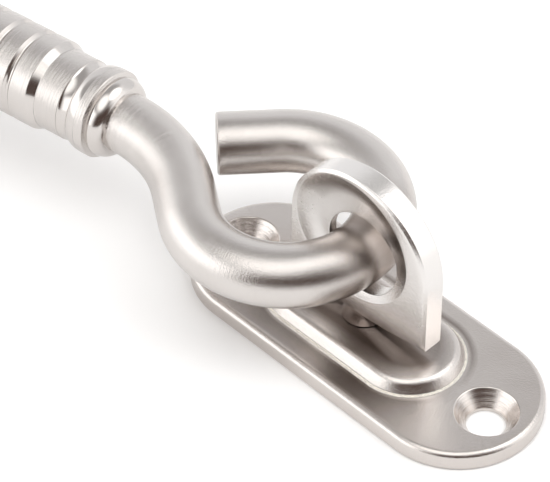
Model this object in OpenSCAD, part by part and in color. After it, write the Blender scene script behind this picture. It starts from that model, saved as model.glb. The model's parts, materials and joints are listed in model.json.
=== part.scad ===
// Cabin hook: a turned hook bar held captive in a swivel eye on a screw plate,
// with a matching eye on a second plate that the open hook drops into.
// Units are millimetres. The screw plates lie on z = 0 and the origin is the
// centre of the pivot plate's underside. The bar runs towards -X.

/* [Wire] */
// Diameter of the round bar that forms the loop and the hook
wire_d = 8; // [6:0.5:10]
// Distance between the two eyes when the hook is latched
reach = 150; // [130:5:220]
// Centreline radius of the loop and of the hook
loop_r = 12; // [11.5:0.25:14]
// Centreline radius of the swan neck next to the collar
swan_r = 20; // [14:1:26]
// Angle that the swan neck turns aside before the loop begins
swan_angle = 43; // [36:1:48]
// Angle that the closed loop turns
loop_angle = 264; // [250:1:266]
// Gap between the closed loop's cut end and the swan neck
loop_gap = 1.2; // [0.6:0.1:3]
// Edge break on the closed loop's cut end
loop_tip_break = 0.4; // [0.2:0.1:0.8]
// Straight length of the open hook's tip, without its round end
hook_tip = 9; // [6:0.5:11]

/* [Grip] */
// Height of the grip's lands above the wire
land_rise = 2.1; // [1.6:0.05:2.6]
// Number of lands along the grip
land_count = 14; // [6:1:16]
// Width of the polished groove between two lands
groove_w = 1; // [0.6:0.1:1.5]
// Depth of the groove between two lands
groove_depth = 0.5; // [0.3:0.1:0.8]
// Length of the bevel from the neck up to the first land
bevel_len = 1.1; // [0.6:0.1:1.6]
// Height of the plain neck between the grip and the bead above the wire
neck_rise = 1.5; // [1:0.05:1.8]
// Length of the plain neck
neck_len = 3.6; // [2:0.2:5]
// Length of the cove between the neck and the bead
cove_len = 1.4; // [0.8:0.1:2]
// Depth of the cove below the neck
cove_depth = 0.35; // [0.2:0.05:0.6]
// Height of the bead above the wire
bead_rise = 1.95; // [1.6:0.05:2.4]
// Length of the bead's rounded flank
bead_flank = 1.8; // [1:0.1:2.5]
// Length of the bead's flat crest
bead_crest = 1.3; // [0.8:0.1:2]
// Width of the fine groove beside the end ring
ring_groove_w = 0.5; // [0.3:0.1:0.8]
// Depth of the fine groove below the end ring
ring_groove_depth = 0.3; // [0.2:0.05:0.6]
// Height of the round ring, where the wire leaves the collar, above the wire
ring_rise = 1.4; // [1:0.05:1.8]
// Length of the end ring
ring_len = 1.9; // [1.4:0.1:2.6]

/* [Eye] */
// Thickness of the eye
eye_t = 3.4; // [3:0.1:4]
// Free play of the wire in the eye's hole, on the diameter
hole_play = 3.2; // [2.6:0.1:4]
// Width of the eye beside its hole
rim_w = 5.6; // [4.6:0.1:6.4]
// Gap between the boss and the eye's rounded belly, at the middle
belly_gap = 0.5; // [0.4:0.1:1.5]
// Radius of the eye's rounded belly
belly_r = 45; // [36:1:60]
// Height of the hole's centre above the belly
hole_rise = 9.9; // [9.2:0.1:11]
// Height of the arch's centre above the hole's centre
arch_rise = 1; // [0.4:0.1:1.6]
// Width of the scooped hollow beyond the hole's radius
scoop_w = 2.9; // [2.4:0.1:3.4]
// Height of the scoop's centre above the hole's centre
scoop_rise = 2.2; // [1.5:0.1:2.4]
// Thickness left between the two scoops
scoop_web = 1.1; // [0.8:0.1:1.6]
// Radius of the scoop's hollow wall
scoop_curve = 8.6; // [7:0.2:12]
// Clearance between the wire and the edge of the hole that it rests on
seat_gap = 0.45; // [0.35:0.05:0.6]
// Lean of the wire's seat in the hole, from straight down towards the catch
wire_lean = 45; // [0:1:60]
// Bevel around the eye's edges
eye_bevel = 0.35; // [0.2:0.05:0.6]
// Wider bevel under the belly
belly_bevel = 0.8; // [0.4:0.1:1]

/* [Screw plate] */
// Length of the screw plate
plate_l = 53; // [48:1:64]
// Width of the screw plate
plate_w = 21.5; // [20:0.5:26]
// Thickness of the screw plate
plate_t = 2.5; // [2.2:0.1:3]
// Rounding of the plate's upper edge
plate_edge_r = 0.8; // [0.4:0.1:1.2]
// Distance from the plate's end to a screw hole's centre
screw_inset = 5.8; // [5.2:0.1:7]
// Diameter of the screw holes
screw_d = 4.8; // [4:0.1:5.4]
// Diameter of the countersink at the plate's face
countersink_d = 8; // [7:0.1:8.4]
// Depth of the countersink
countersink_depth = 2.1; // [1:0.1:2.1]

/* [Boss] */
// Flat stretch between a countersink and the boss
boss_end_gap = 1.8; // [1.2:0.1:3]
// Flat stretch between the plate's long edge and the boss
boss_side_gap = 3.55; // [2.8:0.05:4.2]
// Height of the boss above the plate
boss_h = 2; // [1.8:0.1:2.2]
// Fall of the boss's crown from its middle to its shoulder
crown_fall = 0.4; // [0.2:0.05:0.6]
// Width of the sloped shoulder around the boss
shoulder_w = 1.2; // [0.8:0.1:1.6]
// Radius of the fillet at the foot of the shoulder
foot_fillet = 0.5; // [0.3:0.1:0.7]

/* [Swivel rivet] */
// Diameter of the eye's shank through the boss
shank_d = 5; // [4.6:0.1:6]
// Running clearance around the shank, on the radius
shank_gap = 0.08; // [0.04:0.01:0.1]
// Width of the collar between the eye and the boss, beyond the shank
collar_lip = 0.4; // [0.3:0.1:1]
// End play between the collar or the rivet head and the plate
swivel_play = 0.1; // [0.05:0.01:0.2]
// Width of the peened head beyond the shank
rivet_lip = 2.2; // [1.6:0.1:2.6]
// Thickness of the peened head
rivet_h = 1.3; // [1:0.1:1.5]
// Clearance between the peened head and the wall of its pocket
pocket_gap = 0.7; // [0.4:0.1:1]
// Distance from the peened head's crown to the mounting face
rivet_inset = 0.6; // [0.3:0.1:0.8]

/* [Pose] */
// Turn of the hook bar away from the line between the two plates
bar_swing = 8.7; // [7.5:0.1:12]
// Turn of the pivot eye on its plate
eye_turn = 1.5; // [0:0.1:6]
// Sideways place of the loop in the pivot eye, along the wire
bar_shift = 1; // [0:0.1:1.2]

/* [Hidden] */
$fn = 72;
// Overlap that makes a cut run past a face
cut = 1;
wire_r = wire_d / 2;
// Straight stretches overlap the bends a little and stand proud of them by a hair
lap = 0.2;
proud = 0.04;
proud_r = wire_r + proud;
// Steps in a quarter turn of a turned profile
steps = 8;
// Share of a groove's width that each of its sloped walls takes
groove_wall = 0.35;
land_r = wire_r + land_rise;
neck_r = wire_r + neck_rise;
cove_r = neck_r - cove_depth;
bead_r = wire_r + bead_rise;
ring_r = wire_r + ring_rise;
boss_top = plate_t + boss_h;
screw_pitch = plate_l - 2 * screw_inset;
boss_l = screw_pitch - countersink_d - 2 * boss_end_gap;
boss_w = plate_w - 2 * boss_side_gap;
eye_hole_d = wire_d + hole_play;
eye_w = eye_hole_d + 2 * rim_w;
belly_z = boss_top + belly_gap;
eye_hole_z = belly_z + hole_rise;
arch_z = eye_hole_z + arch_rise;
scoop_d = eye_hole_d + 2 * scoop_w;
scoop_depth = (eye_t - scoop_web) / 2;
// Radius of the scoop's flat floor
scoop_floor_r = scoop_d / 2 - sqrt(scoop_depth * (2 * scoop_curve - scoop_depth));
collar_d = shank_d + 2 * collar_lip;
// Height up to which the collar runs into the belly's bevel
collar_top = belly_z + belly_bevel / 2;
rivet_d = shank_d + 2 * rivet_lip;
pocket_d = rivet_d + 2 * pocket_gap;
// Face inside the plate's pocket that the peened head bears on
rivet_seat_z = rivet_inset + rivet_h + swivel_play;
// Place of the wire in the hole: it rests on the lower edge, drawn a little towards the catch
wire_room = hole_play / 2 - seat_gap;
wire_pull = wire_room * sin(wire_lean);
bar_z = eye_hole_z - wire_room * cos(wire_lean);
// Straight stretch between the swan neck and the loop, so that the loop is centred on the bar's axis
swan_straight = (loop_r * cos(swan_angle) - swan_r * (1 - cos(swan_angle))) / sin(swan_angle);
// Distance along the bar from the collar's end to the loop's centre
loop_offset = (swan_r + loop_r) * sin(swan_angle) + swan_straight * cos(swan_angle);
// Distance along the bar from the eye hole to the collar's end
collar_x = loop_offset + loop_r;
// Length of the turned grip with its two collars
grip_l = reach - wire_pull - 2 * collar_x;
// Length of the turned collar from the wire to the first land
head_len = ring_len + ring_groove_w + bead_crest + bead_flank + cove_len + neck_len + bevel_len;
// Width of one land, from what is left between the two collars
land_w = (grip_l - 2 * head_len - (land_count - 1) * groove_w) / land_count;
// Straight length at the closed loop's end, up to the gap beside the swan neck. The end's inner
// corner starts at tip_from, measured from the swan neck's centre, and runs along tip_way.
tip_turn = loop_angle - swan_angle;
tip_way = [cos(tip_turn), sin(tip_turn)];
tip_from = [loop_offset, swan_r] + (loop_r - wire_r) * [sin(tip_turn), -cos(tip_turn)];
tip_reach = swan_r + wire_r + loop_gap;
tip_along = tip_from * tip_way;
loop_tip = -tip_along - sqrt(pow(tip_along, 2) - tip_from * tip_from + pow(tip_reach, 2));

// Points of a quarter ellipse from angle a0 to a1
function arc_points(cx, cy, rx, ry, a0, a1) =
    [for (i = [0:steps]) let (a = a0 + (a1 - a0) * i / steps) [cx + rx * cos(a), cy + ry * sin(a)]];

// A profile swept around an oblong: half a turn at each end and straight between
module oblong(length, width) {
    straight = length - width;
    for (side = [0, 180])
        rotate([0, 0, side])
            translate([straight / 2, 0, 0])
                rotate([0, 0, -90])
                    rotate_extrude(angle = 180)
                        children();
    for (side = [0, 180])
        rotate([0, 0, side])
            translate([-straight / 2, 0, 0])
                rotate([90, 0, 90])
                    linear_extrude(straight)
                        children();
}

// Half section of the plate, with its upper edge rounded
module plate_section() {
    half = plate_w / 2;
    polygon(concat(
        [[0, 0], [half, 0]],
        arc_points(half - plate_edge_r, plate_t - plate_edge_r, plate_edge_r, plate_edge_r, 0, 90),
        [[0, plate_t]]));
}

// Half section of the boss: filleted foot, sloped shoulder, crisp edge and low crown
module boss_section() {
    half = boss_w / 2;
    shoulder = half - shoulder_w;
    shoulder_z = plate_t + boss_h - crown_fall;
    polygon(concat(
        [[0, plate_t - cut], [half, plate_t - cut]],
        arc_points(half, plate_t + foot_fillet, foot_fillet, foot_fillet, 270, 200),
        [for (i = [0:steps]) [shoulder * (1 - i / steps), shoulder_z + crown_fall * sin(90 * i / steps)]]));
}

// One countersunk screw hole along Z
module screw_hole() {
    translate([0, 0, -cut])
        cylinder(d = screw_d, h = plate_t + 2 * cut);
    translate([0, 0, plate_t - countersink_depth])
        cylinder(d1 = screw_d, d2 = countersink_d, h = countersink_depth);
    translate([0, 0, plate_t])
        cylinder(d = countersink_d, h = cut);
}

// Screw plate with its boss, countersunk holes, shank bore and pocket for the rivet head
module screw_plate() {
    difference() {
        union() {
            oblong(plate_l, plate_w)
                plate_section();
            oblong(boss_l, boss_w)
                boss_section();
        }
        for (side = [-1, 1])
            translate([side * screw_pitch / 2, 0, 0])
                screw_hole();
        translate([0, 0, -cut])
            cylinder(d = shank_d + 2 * shank_gap, h = boss_top + 2 * cut);
        translate([0, 0, -cut])
            cylinder(d = pocket_d, h = cut + rivet_seat_z);
    }
}

// Section of the eye's edge, bevelled on both faces: x outwards, y through the thickness
module edge_section(radius, bevel) {
    half = eye_t / 2;
    polygon([
        [0, -half], [radius - bevel, -half], [radius, bevel - half],
        [radius, half - bevel], [radius - bevel, half], [0, half]]);
}

// Upper half of the eye's outline
module eye_arch() {
    translate([0, 0, arch_z])
        rotate([90, 0, 0])
            rotate_extrude(angle = 180)
                edge_section(eye_w / 2, eye_bevel);
}

// Straight sides of the eye with its rounded belly
module eye_sides() {
    intersection() {
        linear_extrude(arch_z)
            union() {
                edge_section(eye_w / 2, eye_bevel);
                mirror([1, 0, 0])
                    edge_section(eye_w / 2, eye_bevel);
            }
        translate([0, 0, belly_z + belly_r])
            rotate([90, 0, 0])
                rotate_extrude()
                    edge_section(belly_r, belly_bevel);
    }
}

// Dished hollow on one face, above and around the hole
module eye_scoop() {
    scoop_r = scoop_d / 2;
    edge = acos((scoop_r - scoop_floor_r) / scoop_curve);
    translate([0, -eye_t / 2, eye_hole_z + scoop_rise])
        rotate([-90, 0, 0])
            rotate_extrude()
                polygon(concat(
                    [[0, -cut], [scoop_r, -cut]],
                    arc_points(scoop_floor_r, scoop_depth - scoop_curve, scoop_curve, scoop_curve, edge, 90),
                    [[0, scoop_depth]]));
}

// Eye with its scooped hole, collar, shank and peened head, turning about Z
module swivel_eye() {
    difference() {
        union() {
            eye_arch();
            eye_sides();
        }
        translate([0, 0, eye_hole_z])
            rotate([90, 0, 0])
                cylinder(d = eye_hole_d, h = eye_t + 2 * cut, center = true);
        for (side = [0, 180])
            rotate([0, 0, side])
                eye_scoop();
    }
    translate([0, 0, boss_top + swivel_play])
        cylinder(d = collar_d, h = collar_top - boss_top - swivel_play);
    translate([0, 0, rivet_inset])
        cylinder(d = shank_d, h = collar_top - rivet_inset);
    translate([0, 0, rivet_inset])
        rivet_head();
}

// Domed head that the shank is peened to, crown downwards
module rivet_head() {
    dome = rivet_h / 2;
    rotate_extrude()
        polygon(concat(
            [[0, rivet_h], [rivet_d / 2, rivet_h]],
            arc_points(0, dome, rivet_d / 2, dome, 0, -90)));
}

// Radii along one turned collar, from the wire towards the middle of the grip
function collar_profile() = let (
        ring_end = ring_len,
        crest_0 = ring_end + ring_groove_w,
        crest_1 = crest_0 + bead_crest,
        flank_1 = crest_1 + bead_flank,
        cove_1 = flank_1 + cove_len,
        neck_1 = cove_1 + neck_len)
    concat(
        [[-lap, 0], [-lap, proud_r]],
        [for (i = [0:steps]) let (a = 90 * i / steps)
            [ring_end * (1 - cos(a)), proud_r + (ring_r - proud_r) * sin(a)]],
        [[ring_end + ring_groove_w / 2, ring_r - ring_groove_depth]],
        [[crest_0, bead_r], [crest_1, bead_r]],
        [for (i = [1:steps]) let (a = 90 * i / steps)
            [crest_1 + bead_flank * sin(a), cove_r + (bead_r - cove_r) * cos(a)]],
        [for (i = [1:steps]) let (a = 90 * i / steps)
            [flank_1 + cove_len * sin(a), neck_r - cove_depth * cos(a)]],
        [[neck_1, neck_r], [neck_1 + bevel_len, land_r]]);

// Radii along the lands and grooves, from the first land's edge
function land_profile() = [for (i = [0:land_count - 2])
    let (edge = head_len + (i + 1) * land_w + i * groove_w)
    for (p = [[0, 0], [groove_wall, groove_depth], [1 - groove_wall, groove_depth], [1, 0]])
        [edge + p[0] * groove_w, land_r - p[1]]];

// Turned grip with a collar at each end, along +X from the loop's collar
module grip() {
    half = collar_profile();
    other = [for (i = [len(half) - 1:-1:0]) [grip_l - half[i][0], half[i][1]]];
    outline = concat(half, land_profile(), other);
    rotate([0, 90, 0])
        rotate_extrude()
            polygon([for (p = outline) [p[1], p[0]]]);
}

// Bend of the wire that starts at the origin along +X and turns left, or right if angle is negative
module bend(radius, angle) {
    side = angle < 0 ? 1 : 0;
    mirror([0, side, 0])
        translate([0, radius, 0])
            rotate([0, 0, -90])
                rotate_extrude(angle = abs(angle))
                    translate([radius, 0])
                        circle(r = wire_r);
}

// Moves its children to the end of such a bend
module after_bend(radius, angle) {
    side = angle < 0 ? -1 : 1;
    turn = abs(angle);
    translate([radius * sin(turn), side * radius * (1 - cos(turn)), 0])
        rotate([0, 0, angle])
            children();
}

// Straight wire along +X between two bends
module straight(length) {
    translate([-lap, 0, 0])
        rotate([0, 90, 0])
            cylinder(r = proud_r, h = length + 2 * lap);
}

// Cut end of the wire with its edge broken
module cut_tip(length) {
    rotate([0, 90, 0])
        rotate_extrude()
            polygon([
                [0, -lap], [proud_r, -lap], [proud_r, length - loop_tip_break],
                [proud_r - loop_tip_break, length], [0, length]]);
}

// Straight tip of the hook with its round end
module round_tip(length) {
    rotate([0, 90, 0])
        rotate_extrude()
            polygon(concat(
                [[0, -lap], [proud_r, -lap]],
                arc_points(0, length, proud_r, proud_r, 0, 90)));
}

// Swan neck from the collar's end along +X, with the loop or hook and the tip that follow it
module swan_neck(turn) {
    bend(swan_r, -swan_angle);
    after_bend(swan_r, -swan_angle) {
        straight(swan_straight);
        translate([swan_straight, 0, 0]) {
            bend(loop_r, turn);
            after_bend(loop_r, turn)
                children();
        }
    }
}

// Hook bar along -X, with the loop crossing the eye close to the origin
module bent_bar() {
    translate([-wire_pull - collar_x, bar_shift, 0])
        swan_neck(loop_angle)
            cut_tip(loop_tip);
    translate([-wire_pull - collar_x - grip_l, bar_shift, 0]) {
        grip();
        mirror([1, 0, 0])
            swan_neck(swan_angle + 90)
                round_tip(hook_tip);
    }
}

module pivot_plate() {
    color("silver")
        screw_plate();
}

module pivot_eye() {
    color("gainsboro")
        rotate([0, 0, eye_turn])
            swivel_eye();
}

module hook_bar() {
    color("lightgray")
        translate([0, 0, bar_z])
            rotate([0, 0, bar_swing])
                bent_bar();
}

module catch_plate() {
    color("silver")
        translate([-reach, 0, 0])
            screw_plate();
}

module catch_eye() {
    color("gainsboro")
        translate([-reach, 0, 0])
            swivel_eye();
}

pivot_plate();
pivot_eye();
hook_bar();
catch_plate();
catch_eye();
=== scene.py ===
"""Studio picture of a cabin hook latch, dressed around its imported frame.

The bar, the two eyes and the two screw plates are modelled again as smooth meshes over
the frame's solids, and get procedural nickel finishes. Lengths in the classes are in
millimetres, as on the drawing; meshes are in metres.
"""
import json
import logging
import math
from dataclasses import dataclass
from enum import Enum
from functools import partial
from typing import Callable

import bmesh
import bpy
from mathutils import Matrix, Vector


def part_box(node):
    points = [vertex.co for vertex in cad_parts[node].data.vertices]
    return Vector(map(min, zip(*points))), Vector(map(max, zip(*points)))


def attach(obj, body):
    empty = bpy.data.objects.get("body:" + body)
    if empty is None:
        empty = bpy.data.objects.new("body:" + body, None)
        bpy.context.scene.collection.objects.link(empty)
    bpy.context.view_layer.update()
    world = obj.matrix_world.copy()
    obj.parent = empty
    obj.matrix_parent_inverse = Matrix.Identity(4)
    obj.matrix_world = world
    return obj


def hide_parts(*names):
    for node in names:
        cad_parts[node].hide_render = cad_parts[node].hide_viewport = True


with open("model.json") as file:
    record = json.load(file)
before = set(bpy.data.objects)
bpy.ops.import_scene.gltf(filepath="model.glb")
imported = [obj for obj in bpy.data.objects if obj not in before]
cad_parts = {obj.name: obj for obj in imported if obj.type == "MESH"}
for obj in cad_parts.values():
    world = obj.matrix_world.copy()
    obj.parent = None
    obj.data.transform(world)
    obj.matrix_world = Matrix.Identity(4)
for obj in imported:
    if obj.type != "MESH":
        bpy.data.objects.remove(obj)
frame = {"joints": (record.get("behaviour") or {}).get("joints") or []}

MM = 0.001
PHOTO_WIDTH = 550
# The brushing of the bent wire fades over this length in metres, and this share of it stays.
BRUSH_FADE = 0.055
BRUSH_LEAST = 0.15
# The most that the rounding of a corner takes from each of its two sides.
SIDE_SHARE = 0.45
# Distance in metres at which points are merged, and the smallest angles or lengths that count.
MERGE = 1e-7
NEAR = 1e-6
ON_SIDE = Matrix.Rotation(math.pi / 2, 4, "Y")
LOG = logging.getLogger("cabin_hook")

Point = tuple[float, float]
Triple = tuple[float, float, float]
Reach = Callable[[float], Point]
Socket = bpy.types.NodeSocket
Source = Socket | float | tuple[float, ...]
Wires = dict[str | int, Source]


class Layer(Enum):
    """Names of the mesh attributes that the finishes read."""

    ALONG = "along"
    POLISH = "polish"
    BRUSH = "brush"
    SEAM = "seam"
    SHADE = "shade"


class Slot(Enum):
    """Material slots of the record."""

    PLATE = "polished_nickel"
    EYE = "satin_nickel_eye"
    BAR = "satin_nickel_bar"


class LineMask(Enum):
    """Surfaces that show turning lines."""

    SATIN = "brushed wire and lands"
    POLISHED = "cut holes"


def clamped(value: float) -> float:
    """Keep a share between 0 and 1."""
    return min(1.0, max(0.0, value))


def joint_row(name: str) -> dict:
    """Find a joint's entry in the frame by the joint's name."""
    return next(row for row in frame["joints"] if row["name"] == name)


def node_middle(node: str) -> Vector:
    """Find the middle of a solid's box on the mounting face, in metres."""
    low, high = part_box(node)
    return Vector(((low[0] + high[0]) / 2, (low[1] + high[1]) / 2, 0.0))


def softened(corners: list[Point], radius: float, steps: int = 3) -> list[Point]:
    """Round the inner corners of a profile.

    Args:
        corners: Points of the profile in order.
        radius: Length that each rounding takes from its two sides, at most.
        steps: Number of short pieces in each rounding.

    Returns:
        The profile with each inner corner replaced by a small curve.
    """
    points = [corners[0]]
    for before, at, after in zip(corners, corners[1:], corners[2:]):
        a, p, b = Vector(before), Vector(at), Vector(after)
        back, ahead = a - p, b - p
        start = p + back.normalized() * min(radius, SIDE_SHARE * back.length)
        end = p + ahead.normalized() * min(radius, SIDE_SHARE * ahead.length)
        for i in range(steps + 1):
            u = i / steps
            q = (1 - u) ** 2 * start + 2 * u * (1 - u) * p + u * u * end
            points.append((q.x, q.y))
    points.append(corners[-1])
    return points


def quarter(start: Point, end: Point, steep_first: bool, steps: int = 10) -> list[Point]:
    """Draw a quarter ellipse between two points.

    Args:
        start: First point.
        end: Last point.
        steep_first: True if the curve leaves start along the second axis.
        steps: Number of pieces.

    Returns:
        The points from start to end.
    """
    (x0, y0), (x1, y1) = start, end
    points = []
    for i in range(steps + 1):
        a = math.pi / 2 * i / steps
        if steep_first:
            points.append((x0 + (x1 - x0) * (1 - math.cos(a)), y0 + (y1 - y0) * math.sin(a)))
        else:
            points.append((x0 + (x1 - x0) * math.sin(a), y0 + (y1 - y0) * (1 - math.cos(a))))
    return points


class Shell:
    """A mesh that is grown ring by ring with extrusions."""

    def __init__(self) -> None:
        """Start an empty mesh with the layers that the finishes read."""
        self.mesh = bmesh.new()
        self.layers = {layer: self.mesh.verts.layers.float.new(layer.value) for layer in Layer}
        self.order = self.mesh.verts.layers.int.new("order")

    def circle(self, sides: int, radius: float, place: Matrix) -> list[bmesh.types.BMEdge]:
        """Add an open ring in the local XY plane of its place, in metres, and return its edges."""
        made = bmesh.ops.create_circle(self.mesh, cap_ends=False, segments=sides, radius=radius, matrix=place)
        return list({edge for vert in made["verts"] for edge in vert.link_edges})

    def extrude(self, ring: list[bmesh.types.BMEdge]) -> tuple[list, list]:
        """Grow a wall from a ring, with the new ring still in the old one's place.

        Args:
            ring: Edges of the ring.

        Returns:
            The new ring's vertices and edges.
        """
        grown = bmesh.ops.extrude_edge_only(self.mesh, edges=ring)["geom"]
        verts = [item for item in grown if isinstance(item, bmesh.types.BMVert)]
        edges = [item for item in grown if isinstance(item, bmesh.types.BMEdge) and item.is_boundary]
        return verts, edges

    @staticmethod
    def points(ring: list[bmesh.types.BMEdge]) -> list[bmesh.types.BMVert]:
        """Collect a ring's vertices."""
        return list({vert for edge in ring for vert in edge.verts})

    def mark(self, verts: list, layer: Layer, value: float) -> None:
        """Write one value of a layer on some vertices."""
        for vert in verts:
            vert[self.layers[layer]] = value

    def lathe(self, profile: list[Triple], place: Matrix, sides: int) -> None:
        """Turn a profile about a line with one full spin.

        Args:
            profile: Distance along the line, radius and polish of each point, in metres and from 0 to 1.
            place: Start of the line, which runs along the local X axis.
            sides: Number of steps around the line.
        """
        chain = []
        for distance, radius, polish in profile:
            vert = self.mesh.verts.new(place @ Vector((distance, radius, 0.0)))
            self.mark([vert], Layer.ALONG, distance)
            self.mark([vert], Layer.POLISH, polish)
            self.mark([vert], Layer.BRUSH, 1.0)
            if chain:
                chain.append(self.mesh.edges.new((chain[-1], vert)))
            chain.append(vert)
        line = place.to_3x3() @ Vector((1.0, 0.0, 0.0))
        bmesh.ops.spin(
            self.mesh, geom=chain, cent=place.translation, axis=line, angle=2 * math.pi, steps=sides,
            use_merge=True)

    def take(self, other: "Shell") -> None:
        """Add another shell's geometry to this one and free the other.

        Args:
            other: Shell with the same layers.
        """
        carrier = bpy.data.meshes.new("carrier")
        other.mesh.to_mesh(carrier)
        other.mesh.free()
        self.mesh.from_mesh(carrier)
        bpy.data.meshes.remove(carrier)

    def finish(self, name: str, place: Matrix, sharp_deg: float = 38.0) -> bpy.types.Object:
        """Turn the mesh into a smooth object of the scene.

        Args:
            name: The piece's name.
            place: Where the mesh goes. The object itself stays at the origin.
            sharp_deg: Edges that turn by more than this angle stay crisp.

        Returns:
            The new object.
        """
        bmesh.ops.remove_doubles(self.mesh, verts=self.mesh.verts, dist=MERGE)
        bmesh.ops.transform(self.mesh, matrix=place, verts=self.mesh.verts)
        bmesh.ops.recalc_face_normals(self.mesh, faces=self.mesh.faces)
        for face in self.mesh.faces:
            face.smooth = True
        limit = math.radians(sharp_deg)
        for edge in self.mesh.edges:
            edge.smooth = len(edge.link_faces) != 2 or edge.calc_face_angle(0.0) < limit
        data = bpy.data.meshes.new(name)
        self.mesh.to_mesh(data)
        self.mesh.free()
        piece = bpy.data.objects.new(name, data)
        bpy.context.scene.collection.objects.link(piece)
        weighted = piece.modifiers.new("flat faces stay flat", "WEIGHTED_NORMAL")
        weighted.keep_sharp = True
        return piece


@dataclass
class RoundRod:
    """Grows one end of a round rod along a path in the local XY plane.

    Attributes:
        shell: Mesh that the rod belongs to.
        ring: Edges of the ring that the rod grows from.
        place: Middle of the ring, with +X along the rod.
        radius: Radius of the ring in metres.
        length: Length of the rod up to the ring, in metres.
    """

    shell: Shell
    ring: list
    place: Matrix
    radius: float
    length: float = 0.0

    @classmethod
    def start(cls, shell: Shell, sides: int, radius: float, place: Matrix) -> "RoundRod":
        """Start a rod with a new ring."""
        return cls(shell, shell.circle(sides, radius, place @ ON_SIDE), place, radius)

    def _grow(self, step: float, polish: float = 0.0) -> list:
        """Extrude the ring and note its place along the rod.

        Args:
            step: Length that the rod gains, in metres.
            polish: Gloss of the new ring.

        Returns:
            The new ring's vertices.
        """
        verts, self.ring = self.shell.extrude(self.ring)
        self.length += step
        self.shell.mark(verts, Layer.ALONG, self.length)
        self.shell.mark(verts, Layer.POLISH, polish)
        self.shell.mark(verts, Layer.BRUSH, max(BRUSH_LEAST, 1.0 - self.length / BRUSH_FADE))
        return verts

    def advance(self, distance: float, radius: float | None = None, polish: float = 0.0) -> None:
        """Grow the rod straight on.

        Args:
            distance: Length in metres.
            radius: Radius at the new end, where it changes.
            polish: Gloss of the new ring, from 0, satin, to 1, polished.
        """
        verts = self._grow(distance, polish)
        ahead = self.place.to_3x3() @ Vector((distance, 0, 0))
        bmesh.ops.translate(self.shell.mesh, vec=ahead, verts=verts)
        self.place = Matrix.Translation(ahead) @ self.place
        if radius is not None:
            ratio = radius / self.radius
            bmesh.ops.scale(self.shell.mesh, vec=(1, ratio, ratio), space=self.place.inverted(), verts=verts)
            self.radius = radius

    def straight(self, distance: float, step: float) -> None:
        """Grow the rod straight on in several rings.

        Args:
            distance: Length in metres.
            step: About the distance between two rings.
        """
        count = max(1, round(distance / step))
        for _ in range(count):
            self.advance(distance / count)

    def bend(self, radius: float, angle_deg: float, step_deg: float = 2.5) -> None:
        """Bend the rod in its plane.

        Args:
            radius: Centreline radius in metres.
            angle_deg: Turn to the left, or to the right if negative.
            step_deg: Turn between two rings.
        """
        count = max(1, round(abs(angle_deg) / step_deg))
        angle = math.radians(angle_deg) / count
        centre = self.place @ Vector((0, math.copysign(radius, angle_deg), 0))
        turn = Matrix.Rotation(angle, 4, self.place.to_3x3() @ Vector((0, 0, 1)))
        for _ in range(count):
            verts = self._grow(radius * abs(angle))
            bmesh.ops.rotate(self.shell.mesh, cent=centre, matrix=turn.to_3x3(), verts=verts)
            self.place = Matrix.Translation(centre) @ turn @ Matrix.Translation(-centre) @ self.place

    def follow(self, profile: list[Triple]) -> None:
        """Turn the rod to a profile.

        Args:
            profile: Distance from the ring, radius and polish of each ring, in metres and from 0 to 1.
        """
        here = 0.0
        for distance, radius, polish in profile:
            self.advance(distance - here, radius, polish)
            here = distance

    def close(self) -> None:
        """Close the rod's end with one face."""
        bmesh.ops.edgeloop_fill(self.shell.mesh, edges=self.ring)


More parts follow.
